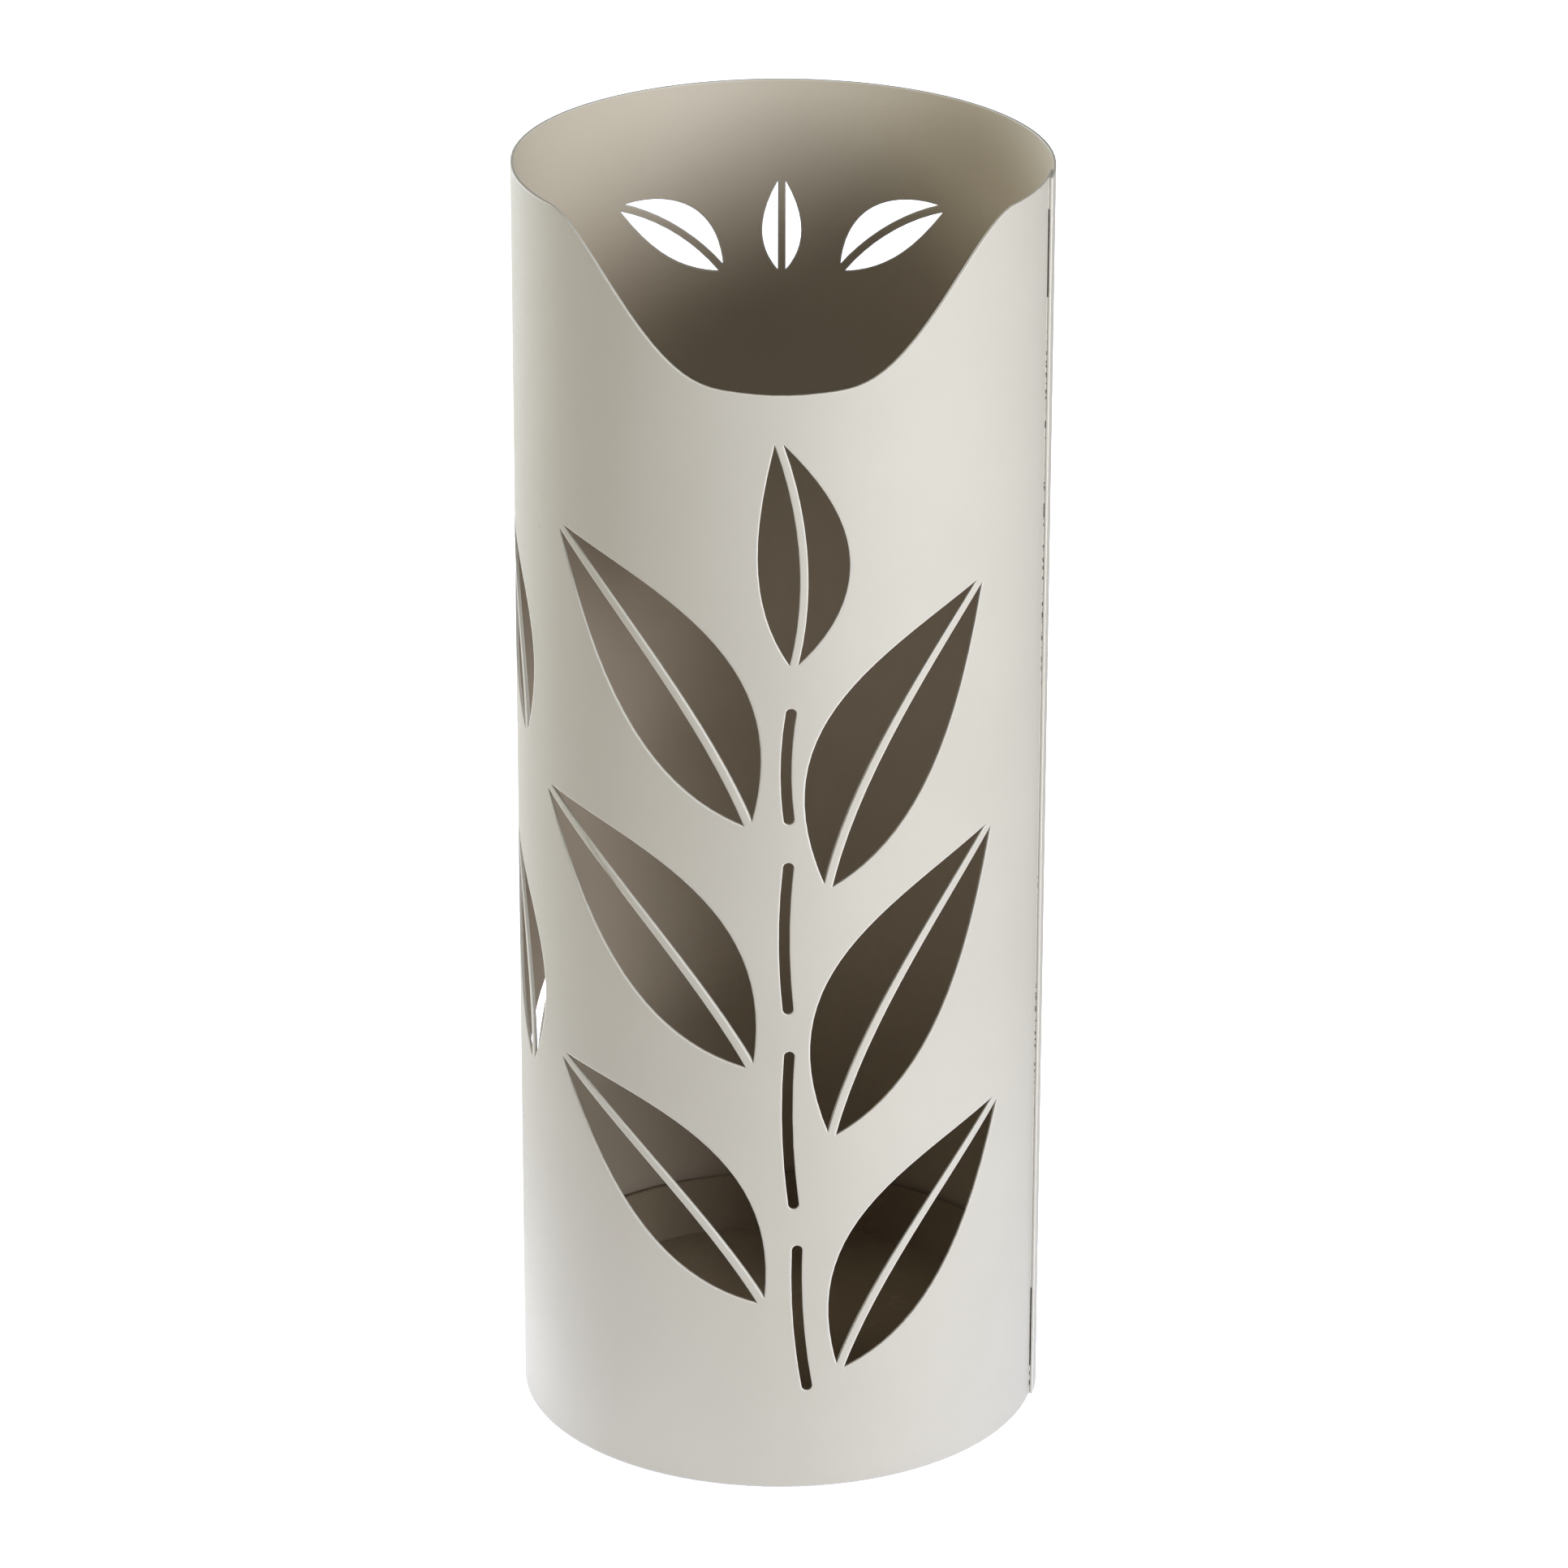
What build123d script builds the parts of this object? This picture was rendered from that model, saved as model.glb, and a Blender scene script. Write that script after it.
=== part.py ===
from build123d import *
import os
from math import asin, cos, degrees, hypot, pi, radians, sin, sqrt

# Umbrella stand: a tube rolled from one sheet of steel and lapped at the right, cut through with a
# leafy branch, standing on a base pan with four rubber feet, with a drip tray that lifts out.
# Millimetres and degrees. Z is up, Y points to the back, and the origin lies on the floor below the
# axis of the tube. A bearing is the turn about that axis from the front (-Y) towards the right (+X).

# Tube wall
STAND_HEIGHT = 500.0    # floor to rim
TUBE_RADIUS = 100.0     # outside of the round wall
SHEET = 1.0             # thickness of the wall
FLOOR_GAP = 2.0         # floor to the lower edge of the wall

# Lap seam: the back end of the sheet lies over the front end
SEAM_BEARING = 80.2     # middle of the lap
LAP_WIDTH = 10.0        # overlap along the wall
LAP_GAP = 0.25          # room between the two layers
EASE_ANGLE = 47.0       # turn in which the outer layer leaves the round before the lap
BEAD_WIDTH = 4.0        # weld bead that fills the mouth of the lap
BEAD_RECESS = 0.2       # end of the outer layer to the bead
OPEN_MARGIN = 12.0      # edge of the sheet to a stretch of the lap without a bead
OPEN_LENGTH = 34.0      # such a stretch, one near the rim and one near the foot

# Dip in the front rim
DIP_DEPTH = 57.0        # rim to the lowest point of the dip
DIP_HALF_ANGLE = 58.0   # front to either shoulder
DIP_FLANK = 0.76        # share of the half angle that each steep side takes
DIP_BOWL = 0.25         # share of the depth that rounds the bottom
DIP_LEAD = 0.15         # the cut starts this much above the rim
DIP_STATIONS = 24       # points along the curve

# Leaves cut through the wall
LOWER_BAND = 43.0       # plain wall below the branch
UPPER_BAND = 16.0       # plain wall between the branch and the dip
LEAF_SLENDERNESS = 0.37 # width over length
LEAF_BEND = 0.10        # sideways bow of the rib, over the length
LEAF_SHOULDER = 0.30    # place of the two curve handles along the leaf
LEAF_WAIST = 0.66
LEAF_TAPER = 0.72       # size of the handle near the tip, over that near the stalk
RIB_WIDTH = 3.0         # wall left standing along the middle of a leaf
STEM_WIDTH = 4.0        # width of the slits that draw the stem
STEM_BOW = 1.5          # sideways bow of a stem slit
CUT_MARGIN = 6.0        # how far a cutter reaches past the wall

# Each leaf: bearing and level at the stalk, then at the tip.
# A level is 0 at the top of the lower band and 1 at the foot of the upper band.
BRANCH_LEAVES = [
    (13.0, 0.015, 56.0, 0.27),
    (-3.5, 0.09, -56.0, 0.315),
    (11.0, 0.27, 52.0, 0.57),
    (-6.0, 0.345, -61.0, 0.595),
    (10.0, 0.535, 48.0, 0.83),
    (-6.5, 0.6, -55.0, 0.875),
    (2.5, 0.765, -1.0, 1.0),
    (-70.0, 0.275, -86.0, 0.51),
    (-72.0, 0.625, -94.0, 0.85),
    (-104.0, 0.1, -122.0, 0.31),
]
# Each stem slit: bearing and level of its lower end, then of its upper end.
STEM_SLITS = [
    (6.0, 0.0, 3.8, 0.15),
    (3.0, 0.2, 2.0, 0.36),
    (1.7, 0.41, 1.7, 0.56),
    (1.8, 0.61, 2.2, 0.72),
]
# Leaves in a row at the back, between two heights below the rim: bearing and level at the stalk,
# then at the tip.
BACK_ROW_DEPTH = 38.0   # rim to the top of the row
BACK_ROW_HEIGHT = 40.0
BACK_LEAVES = [
    (180.0, 0.0, 180.0, 1.0),
    (167.0, 0.05, 141.0, 0.85),
    (193.0, 0.05, 219.0, 0.85),
]

# Base pan, welded into the foot of the tube
PAN_RECESS = 8.0        # lower edge of the wall to the underside of the pan
PAN_SHEET = 1.2
PAN_FLANGE = 8.0        # height of the upturned edge
PAN_BEND = 3.0          # outside radius of the bend
PAN_FIT = 0.1           # room between the flange and the wall

# Rubber feet and their M4 screws
FOOT_RADIUS = 11.0
FOOT_EDGE = 1.0         # rounding of the foot's lower edge
FOOT_SEAT = 5.0         # rubber between the washer and the pan
FOOT_WALL_GAP = 9.0     # foot to wall
FOOT_BEARINGS = {"front_right": 45, "back_right": 135, "back_left": 225, "front_left": 315}
SCREW_RADIUS = 2.0
SCREW_TIP = 1.8         # end of the screw past the nut
HEAD_RADIUS = 3.8
HEAD_HEIGHT = 2.2
HEAD_EDGE = 1.0         # rounding of the head
SOCKET_FLATS = 2.5      # hexagon socket across flats
SOCKET_DEPTH = 1.3
WASHER_RADIUS = 4.5
WASHER_THICKNESS = 0.8
NUT_FLATS = 7.0         # across flats
NUT_HEIGHT = 3.2
HOLE_FIT = 0.2          # room round a screw or a washer
THREAD_FIT = 0.05       # room between screw and nut

# Drip tray, standing loose on the pan
TRAY_SIDE_GAP = 1.2     # tray rim to pan flange
TRAY_WALL = 1.5
TRAY_DEPTH = 22.0       # inside
TRAY_DRAFT = 3.0        # how much the side leans out
TRAY_BEND = 3.0         # inside radius at the foot of the side
TRAY_SCREW_GAP = 1.0    # tray floor above the screw ends
TRAY_RING_WIDTH = 4.0   # ring that the tray stands on
TRAY_RING_GAP = 3.5     # ring to the nuts
TAB_RADIUS = 16.0       # two finger tabs at the rim
TAB_THICKNESS = 2.0

# Heights and radii that follow
wall_foot = FLOOR_GAP
inner_radius = TUBE_RADIUS - SHEET
dip_floor = STAND_HEIGHT - DIP_DEPTH
branch_foot = wall_foot + LOWER_BAND
branch_top = dip_floor - UPPER_BAND
row_top = STAND_HEIGHT - BACK_ROW_DEPTH
row_foot = row_top - BACK_ROW_HEIGHT
pan_underside = wall_foot + PAN_RECESS
pan_floor = pan_underside + PAN_SHEET
pan_radius = inner_radius - PAN_FIT
washer_top = pan_underside - FOOT_SEAT
head_top = washer_top - WASHER_THICKNESS
nut_top = pan_floor + NUT_HEIGHT
screw_end = nut_top + SCREW_TIP
tray_underside = screw_end + TRAY_SCREW_GAP
tray_floor = tray_underside + TRAY_WALL
tray_rim = tray_floor + TRAY_DEPTH
tray_radius = pan_radius - PAN_SHEET - TRAY_SIDE_GAP
foot_circle = inner_radius - FOOT_WALL_GAP - FOOT_RADIUS
nut_corner = NUT_FLATS / 2 / cos(pi / 6)
ring_radius = foot_circle - nut_corner - TRAY_RING_GAP

# Lap seam: the outer layer follows a wider arc that touches the round wall where the easing starts
lap_angle = degrees(LAP_WIDTH / TUBE_RADIUS)
inner_end = SEAM_BEARING + lap_angle / 2
ease_turn = EASE_ANGLE + lap_angle
ease_start = SEAM_BEARING - lap_angle / 2 + ease_turn
growth = (SHEET + LAP_GAP) / (1 - cos(radians(EASE_ANGLE)))
ease_sweep = ease_turn - degrees(asin(growth * sin(radians(ease_turn)) / (TUBE_RADIUS + growth)))
lap_rise = growth * (1 - cos(radians(EASE_ANGLE + lap_angle / 2)))


def on_wall(radius, bearing, height=0.0):
    """Point at a distance from the axis, at a bearing from the front and a height."""
    turn = radians(bearing)
    return Vector(radius * sin(turn), -radius * cos(turn), height)


def wall_line(radius):
    """Plan of one face of the rolled sheet, from its outer end round to its inner end."""
    # Arcs count their angles from +X, a quarter turn after the front.
    touch_angle = ease_start - 90
    with BuildLine() as line:
        CenterArc(on_wall(-growth, ease_start), radius + growth, touch_angle - ease_sweep, ease_sweep)
        CenterArc((0, 0), radius, touch_angle, 360 + inner_end - ease_start)
    return line.wire()


def bead_line(radius):
    """Plan of one side of the weld bead between the two layers of the lap."""
    start = SEAM_BEARING - lap_angle / 2 + degrees(BEAD_RECESS / TUBE_RADIUS)
    with BuildLine() as line:
        CenterArc((0, 0), radius, start - 90, degrees(BEAD_WIDTH / TUBE_RADIUS))
    return line.wire()


def rim_drop(bearing):
    """Depth of the front dip below the rim at a bearing from the front."""
    share = abs(bearing) / DIP_HALF_ANGLE
    flank = (1 - cos(pi * min(1.0, (1 - share) / DIP_FLANK))) / 2
    bowl = (1 - share**2) ** 2
    return (DIP_DEPTH + DIP_LEAD) * ((1 - DIP_BOWL) * flank + DIP_BOWL * bowl) - DIP_LEAD


def dip_line(radius):
    """Curve of the front dip at a distance from the axis."""
    step = 2 * DIP_HALF_ANGLE / DIP_STATIONS
    bearings = [i * step - DIP_HALF_ANGLE for i in range(DIP_STATIONS + 1)]
    with BuildLine() as line:
        Spline(*[on_wall(radius, b, STAND_HEIGHT - rim_drop(b)) for b in bearings])
    return line.edge()


def wall_plane(start_bearing, start_height, end_bearing, end_height):
    """Plane outside the wall with X from one wall point to another, and their distance on it."""
    middle = (start_bearing + end_bearing) / 2
    run = 2 * TUBE_RADIUS * sin(radians(end_bearing - start_bearing) / 2)
    rise = end_height - start_height
    centre = on_wall(TUBE_RADIUS + lap_rise + CUT_MARGIN, middle, (start_height + end_height) / 2)
    along = on_wall(run, middle + 90) + Vector(0, 0, rise)
    return Plane(centre, x_dir=along, z_dir=on_wall(1, middle)), hypot(run, rise)


def cut_depth(length):
    """Depth that takes a cutter of this length from its plane through the curved wall."""
    reach = min(length, TUBE_RADIUS) / 2
    bulge = TUBE_RADIUS - sqrt(TUBE_RADIUS**2 - reach**2)
    return lap_rise + SHEET + bulge + 2 * CUT_MARGIN


def leaf(start_bearing, start_height, end_bearing, end_height):
    """Outline of a leaf in two halves with a rib between them, and the depth of its cut."""
    plane, length = wall_plane(start_bearing, start_height, end_bearing, end_height)
    # A leaf bows upwards, whichever side of its stem it grows on.
    side = (end_bearing > start_bearing) - (end_bearing < start_bearing)
    bow = side * LEAF_BEND * length
    # A cubic curve rises to about three quarters of the mean of its two handles.
    swell = LEAF_SLENDERNESS * length / 2 * (4 / 3) / ((1 + LEAF_TAPER) / 2)
    stalk = (-length / 2, 0)
    tip = (length / 2, 0)
    shoulder = (LEAF_SHOULDER - 0.5) * length
    waist = (LEAF_WAIST - 0.5) * length
    with BuildSketch(plane) as outline:
        with BuildLine():
            Bezier(stalk, (shoulder, bow + swell), (waist, bow + swell * LEAF_TAPER), tip)
            Bezier(stalk, (shoulder, bow - swell), (waist, bow - swell * LEAF_TAPER), tip)
        make_face()
        with BuildLine() as rib:
            Bezier(stalk, (shoulder, bow), (waist, bow), tip)
        trace(rib.line, RIB_WIDTH, mode=Mode.SUBTRACT)
    return outline.sketch, cut_depth(length)


def slit(start_bearing, start_height, end_bearing, end_height):
    """Outline of a bowed slit with round ends, and the depth of its cut."""
    plane, length = wall_plane(start_bearing, start_height, end_bearing, end_height)
    with BuildSketch(plane) as outline:
        with BuildLine() as line:
            SagittaArc((-length / 2, 0), (length / 2, 0), STEM_BOW)
        SlotArc(line.wire(), STEM_WIDTH)
    return outline.sketch, cut_depth(length)


def between(foot, top, start_bearing, start_level, end_bearing, end_level):
    """Bearings and heights of two ends whose levels run from 0 at the foot to 1 at the top."""
    rise = top - foot
    return start_bearing, foot + start_level * rise, end_bearing, foot + end_level * rise


# Wall sheet
outer_face = wall_line(TUBE_RADIUS)
inner_face = wall_line(inner_radius)
cutters = [leaf(*between(branch_foot, branch_top, *ends)) for ends in BRANCH_LEAVES]
cutters += [slit(*between(branch_foot, branch_top, *ends)) for ends in STEM_SLITS]
cutters += [leaf(*between(row_foot, row_top, *ends)) for ends in BACK_LEAVES]
dip_inside = dip_line(inner_radius - CUT_MARGIN)
dip_outside = dip_line(TUBE_RADIUS + CUT_MARGIN)
dip_face = Face.make_surface_from_curves(dip_inside, dip_outside)
bead_inside = bead_line(TUBE_RADIUS - SHEET / 2)
bead_outside = bead_line(TUBE_RADIUS + lap_rise - SHEET / 2)
open_end = OPEN_MARGIN + OPEN_LENGTH
bead_spans = [
    (wall_foot, wall_foot + OPEN_MARGIN),
    (wall_foot + open_end, STAND_HEIGHT - open_end),
    (STAND_HEIGHT - OPEN_MARGIN, STAND_HEIGHT),
]

with BuildPart() as wall_sheet:
    with BuildSketch(Plane.XY.offset(wall_foot)):
        with BuildLine():
            add(outer_face)
            add(inner_face)
            Line(outer_face @ 0, inner_face @ 0)
            Line(outer_face @ 1, inner_face @ 1)
        make_face()
    extrude(amount=STAND_HEIGHT - wall_foot)
    for foot_height, top_height in bead_spans:
        with BuildSketch(Plane.XY.offset(foot_height)):
            with BuildLine():
                add(bead_inside)
                add(bead_outside)
                Line(bead_inside @ 0, bead_outside @ 0)
                Line(bead_inside @ 1, bead_outside @ 1)
            make_face()
        extrude(amount=top_height - foot_height)
    extrude(dip_face, amount=DIP_DEPTH + CUT_MARGIN, dir=(0, 0, 1), mode=Mode.SUBTRACT)
    for outline, depth in cutters:
        extrude(outline, amount=-depth, mode=Mode.SUBTRACT)

# Base pan
with BuildPart() as base_pan:
    with BuildSketch(Plane.XY.offset(pan_underside)):
        Circle(pan_radius)
    extrude(amount=PAN_FLANGE)
    fillet(base_pan.edges().sort_by(Axis.Z)[0], PAN_BEND)
    offset(amount=-PAN_SHEET, openings=base_pan.faces().sort_by(Axis.Z)[-1])
    with Locations(*[on_wall(foot_circle, b, pan_floor) for b in FOOT_BEARINGS.values()]):
        Hole(SCREW_RADIUS + HOLE_FIT)

# Drip tray: a dish with a leaning side, a ring to stand on and two finger tabs
tray_foot_radius = tray_radius - TRAY_DRAFT
with BuildPart() as drip_tray:
    with BuildSketch(Plane.XZ):
        with BuildLine():
            Polyline(
                (0, tray_underside),
                (tray_foot_radius, tray_underside),
                (tray_radius, tray_rim),
                (tray_radius - TRAY_WALL, tray_rim),
                (tray_foot_radius - TRAY_WALL, tray_floor),
                (0, tray_floor),
                close=True,
            )
        make_face()
        corners = vertices().filter_by(lambda v: v.X > TRAY_WALL).group_by(Axis.Y)
        fillet(corners[0], TRAY_BEND + TRAY_WALL)
        fillet(corners[1], TRAY_BEND)
    revolve(axis=Axis.Z)
    with BuildSketch(Plane.XY.offset(pan_floor)):
        Circle(ring_radius)
        Circle(ring_radius - TRAY_RING_WIDTH, mode=Mode.SUBTRACT)
    extrude(amount=tray_floor - pan_floor)
    with BuildSketch(Plane.XY.offset(tray_rim)):
        with PolarLocations(tray_radius, 2):
            Circle(TAB_RADIUS)
        Circle(tray_radius - TRAY_WALL / 2, mode=Mode.INTERSECT)
    extrude(amount=-TAB_THICKNESS)

# Feet: one rubber foot with a sunk screw at each corner
foot_points = {name: on_wall(foot_circle, bearing) for name, bearing in FOOT_BEARINGS.items()}
feet = {}
for name, point in foot_points.items():
    with BuildPart(Plane(point)) as foot:
        Cylinder(FOOT_RADIUS, pan_underside, align=(Align.CENTER, Align.CENTER, Align.MIN))
        fillet(foot.edges().sort_by(Axis.Z)[0], FOOT_EDGE)
        with Locations(Plane.XY.rotated((180, 0, 0))):
            CounterBoreHole(SCREW_RADIUS + HOLE_FIT, WASHER_RADIUS + HOLE_FIT, washer_top)
    feet["foot_" + name] = foot.part

with BuildPart() as foot_screws:
    with BuildSketch(Plane.XY.offset(head_top)):
        with Locations(*foot_points.values()):
            Circle(HEAD_RADIUS)
    extrude(amount=-HEAD_HEIGHT)
    fillet(foot_screws.edges().group_by(Axis.Z)[0], HEAD_EDGE)
    with BuildSketch(Plane.XY.offset(head_top)):
        with Locations(*foot_points.values()):
            Circle(SCREW_RADIUS)
    extrude(amount=screw_end - head_top)
    with BuildSketch(Plane.XY.offset(head_top - HEAD_HEIGHT)):
        with Locations(*foot_points.values()):
            RegularPolygon(SOCKET_FLATS / 2, 6, major_radius=False)
    extrude(amount=SOCKET_DEPTH, mode=Mode.SUBTRACT)

with BuildPart() as foot_washers:
    with BuildSketch(Plane.XY.offset(head_top)):
        with Locations(*foot_points.values()):
            Circle(WASHER_RADIUS)
            Circle(SCREW_RADIUS + HOLE_FIT, mode=Mode.SUBTRACT)
    extrude(amount=WASHER_THICKNESS)

with BuildPart() as foot_nuts:
    with BuildSketch(Plane.XY.offset(pan_floor)):
        with Locations(*foot_points.values()):
            RegularPolygon(NUT_FLATS / 2, 6, major_radius=False)
            Circle(SCREW_RADIUS + THREAD_FIT, mode=Mode.SUBTRACT)
    extrude(amount=NUT_HEIGHT)

pieces = {
    "wall_sheet": wall_sheet.part,
    "base_pan": base_pan.part,
    "drip_tray": drip_tray.part,
    "foot_screws": foot_screws.part,
    "foot_washers": foot_washers.part,
    "foot_nuts": foot_nuts.part,
    **feet,
}
os.makedirs("parts", exist_ok=True)
for name, piece in pieces.items():
    piece.label = name
    export_step(piece, f"parts/{name}.step")
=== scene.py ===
import bpy
import math
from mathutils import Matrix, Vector


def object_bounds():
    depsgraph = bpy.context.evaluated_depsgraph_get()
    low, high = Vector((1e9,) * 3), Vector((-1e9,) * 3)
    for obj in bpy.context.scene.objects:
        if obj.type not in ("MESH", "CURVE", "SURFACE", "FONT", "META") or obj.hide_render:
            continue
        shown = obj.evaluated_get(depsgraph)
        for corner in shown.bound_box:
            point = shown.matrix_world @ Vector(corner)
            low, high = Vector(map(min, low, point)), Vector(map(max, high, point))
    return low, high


bl_info = {
    "name": "Leaf Umbrella Stand",
    "version": (1, 0, 0),
    "blender": (4, 5, 0),
    "location": "View3D > Sidebar > Stand",
    "description": "Finishes a sheet-steel umbrella stand and sets it in a pale studio",
    "category": "Object",
}

# Weld bead in the mouth of the lap seam: bearing from the front and radius, each with half its spread.
BEAD_BEARING = math.radians(78.4)
BEAD_SPREAD = math.radians(1.05)
BEAD_RADIUS = 0.1002
BEAD_HEIGHT = 0.0005

# Noises that break the bead's pores up into grains and rows: scale, and where the mask starts and is full.
PORE_NOISES = ((520.0, 0.52, 0.60), (16.0, 0.46, 0.54))

# Shares of the stand's height from which the painted light and shade inside the tube changes, and at which
# its painted shade band is.
LINING_START = 0.6
PAINTED_SHADE_BAND = 0.8

# How far a face looks out from the tube's axis, or up: where it starts to count as inside, or as upward,
# and where it fully does.
INSIDE_START = -0.3
INSIDE_FULL = -0.8
UPWARD_START = 0.9
UPWARD_FULL = 1.0

# Where the mask of a cloudy noise starts and is full, and that of an edge, by the cosine of its turn; the
# edge mask places the coat's painted highlight.
CLOUD_START = 0.34
CLOUD_FULL = 0.66
EDGE_START = 0.995
EDGE_FULL = 0.80

# Specks: cells to the metre, the share of the cells that hold one, and the largest radius in cells.
NIBS = {"Scale": 90.0, "Share": 0.022, "Radius": 0.06}
DUST = {"Scale": 900.0, "Share": 0.18, "Radius": 0.4}

# Clouds to the metre in plastic and in rubber, and how streaks in plastic and marks in zinc are stretched.
FLOW_SCALE = 45.0
FLOW_STRETCH = (1.0, 0.35, 1.0)
BLOOM_SCALE = 260.0
SCRATCH_STRETCH = (1.0, 1.0, 4.0)

# Dried drops on the tray: cells to the metre, and each drop's core, ring and edge with their strengths.
DROP_SCALE = 75.0
DROP_STOPS = ((0.20, 0.05), (0.31, 0.4), (0.36, 0.0))

# Soft boxes: bearing from the front and rise, in degrees, then the share of the stand's height that they
# look at, how far they are from there, and their side.
KEY_PLACE = (40.0, 19.0)
FILL_PLACE = (-92.0, 31.0)
RIM_PLACE = (-135.0, 14.0)
LIGHT_AIM = 0.54
LIGHT_DISTANCE = 2.3
LIGHT_SIDE = 1.0

# Floor: side and roughness, then the middles of its bright patches, how far they stay bright and reach.
FLOOR_SIDE = 60.0
FLOOR_ROUGHNESS = 0.9
LEFT_PATCH = (-0.21, -0.06, 0.0)
RIGHT_PATCH = (0.21, -0.06, 0.0)
PATCH_CORE = 0.05
PATCH_REACH = 0.28

# Width of the camera's sensor in millimetres.
SENSOR_WIDTH = 36.0

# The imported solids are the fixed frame: they keep their shape, and get their finish here.
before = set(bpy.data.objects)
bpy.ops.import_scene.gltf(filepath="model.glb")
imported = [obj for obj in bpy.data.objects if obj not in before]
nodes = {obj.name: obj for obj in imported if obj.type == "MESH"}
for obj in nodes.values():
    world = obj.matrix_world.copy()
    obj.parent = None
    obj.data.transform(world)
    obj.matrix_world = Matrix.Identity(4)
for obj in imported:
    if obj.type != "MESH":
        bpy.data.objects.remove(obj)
cad_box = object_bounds()
stand_height = cad_box[1].z


class PaintSettings(bpy.types.PropertyGroup):
    """Satin powder coat of the wall sheet and the base pan."""
    colour: bpy.props.FloatVectorProperty(
        name="Paint colour",
        description="Warm light grey of the powder coat",
        subtype="COLOR",
        size=3,
        min=0.0,
        max=1.0,
        default=(0.471, 0.449, 0.404),
    )
    shade: bpy.props.FloatVectorProperty(
        name="Paint shade",
        description="Slightly deeper tone that the coat drifts to where it lies thicker",
        subtype="COLOR",
        size=3,
        min=0.0,
        max=1.0,
        default=(0.453, 0.431, 0.387),
    )
    # Painted light: a paler tone inside the tube next to the rim, where light falls in over the top.
    rim_colour: bpy.props.FloatVectorProperty(
        name="Inner rim colour",
        description="Tone inside the tube, next to the rim",
        subtype="COLOR",
        size=3,
        min=0.0,
        max=1.0,
        default=(0.535, 0.490, 0.410),
    )
    # Painted shade: a darker, warmer band inside the tube below the rim, where little light reaches.
    inner_shade_colour: bpy.props.FloatVectorProperty(
        name="Inner colour",
        description="Warm tone of a band below the rim, where the coat sprayed from both ends lies thin",
        subtype="COLOR",
        size=3,
        min=0.0,
        max=1.0,
        default=(0.352, 0.304, 0.240),
    )
    # Painted light and shade: the warm tone inside the tube from the middle down, standing in for the
    # light that bounces there.
    deep_colour: bpy.props.FloatVectorProperty(
        name="Inner foot colour",
        description="Tone inside the tube, from the middle down",
        subtype="COLOR",
        size=3,
        min=0.0,
        max=1.0,
        default=(0.535, 0.468, 0.385),
    )
    # Painted highlight: a paler tone along the cut edges, where the rounded edges catch the light.
    edge_highlight_colour: bpy.props.FloatVectorProperty(
        name="Edge colour",
        description="Paler tone of the thin coat along the cut edges of the sheet",
        subtype="COLOR",
        size=3,
        min=0.0,
        max=1.0,
        default=(0.70, 0.677, 0.63),
    )
    nib_colour: bpy.props.FloatVectorProperty(
        name="Nib colour",
        description="Dark tone of the few grains of dust that were baked into the coat",
        subtype="COLOR",
        size=3,
        min=0.0,
        max=1.0,
        default=(0.16, 0.15, 0.13),
    )
    drift_size: bpy.props.FloatProperty(
        name="Drift size",
        description="Size of the patches in which the tone of the coat drifts",
        subtype="DISTANCE",
        unit="LENGTH",
        default=0.09,
    )
    peel_size: bpy.props.FloatProperty(
        name="Peel size",
        description="Spacing of the soft ripples that the coat sets with",
        subtype="DISTANCE",
        unit="LENGTH",
        default=0.0022,
    )
    peel_depth: bpy.props.FloatProperty(
        name="Peel depth",
        description="Height of the soft ripples that the coat sets with",
        subtype="DISTANCE",
        unit="LENGTH",
        default=0.000012,
    )
    edge_radius: bpy.props.FloatProperty(
        name="Edge rounding",
        description="Radius that the coat gives to a cut edge of the sheet",
        subtype="DISTANCE",
        unit="LENGTH",
        default=0.0012,
    )
    roughness: bpy.props.FloatProperty(
        name="Roughness",
        description="Middle of the coat's roughness, around which the ripples vary it",
        subtype="FACTOR",
        min=0.0,
        max=1.0,
        default=0.55,
    )


class TraySettings(bpy.types.PropertyGroup):
    """Moulded plastic of the drip tray."""
    colour: bpy.props.FloatVectorProperty(
        name="Tray colour",
        description="Warm taupe of the moulded tray",
        subtype="COLOR",
        size=3,
        min=0.0,
        max=1.0,
        default=(0.345, 0.284, 0.212),
    )
    flow_colour: bpy.props.FloatVectorProperty(
        name="Flow colour",
        description="Slightly paler tone in the streaks where the plastic flowed into the mould",
        subtype="COLOR",
        size=3,
        min=0.0,
        max=1.0,
        default=(0.372, 0.311, 0.236),
    )
    water_colour: bpy.props.FloatVectorProperty(
        name="Water mark colour",
        description="Chalky tone of dried drops on the tray",
        subtype="COLOR",
        size=3,
        min=0.0,
        max=1.0,
        default=(0.45, 0.395, 0.325),
    )
    spark_size: bpy.props.FloatProperty(
        name="Spark grain size",
        description="Spacing of the fine pits that the mould leaves on the plastic",
        subtype="DISTANCE",
        unit="LENGTH",
        default=0.0006,
    )
    spark_depth: bpy.props.FloatProperty(
        name="Spark grain depth",
        description="Depth of the fine pits that the mould leaves on the plastic",
        subtype="DISTANCE",
        unit="LENGTH",
        default=0.00002,
    )
    edge_radius: bpy.props.FloatProperty(
        name="Edge rounding",
        description="Radius of the tray's moulded edges",
        subtype="DISTANCE",
        unit="LENGTH",
        default=0.0005,
    )
    roughness: bpy.props.FloatProperty(
        name="Roughness",
        description="Middle of the plastic's roughness, around which the pits vary it",
        subtype="FACTOR",
        min=0.0,
        max=1.0,
        default=0.75,
    )


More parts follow.
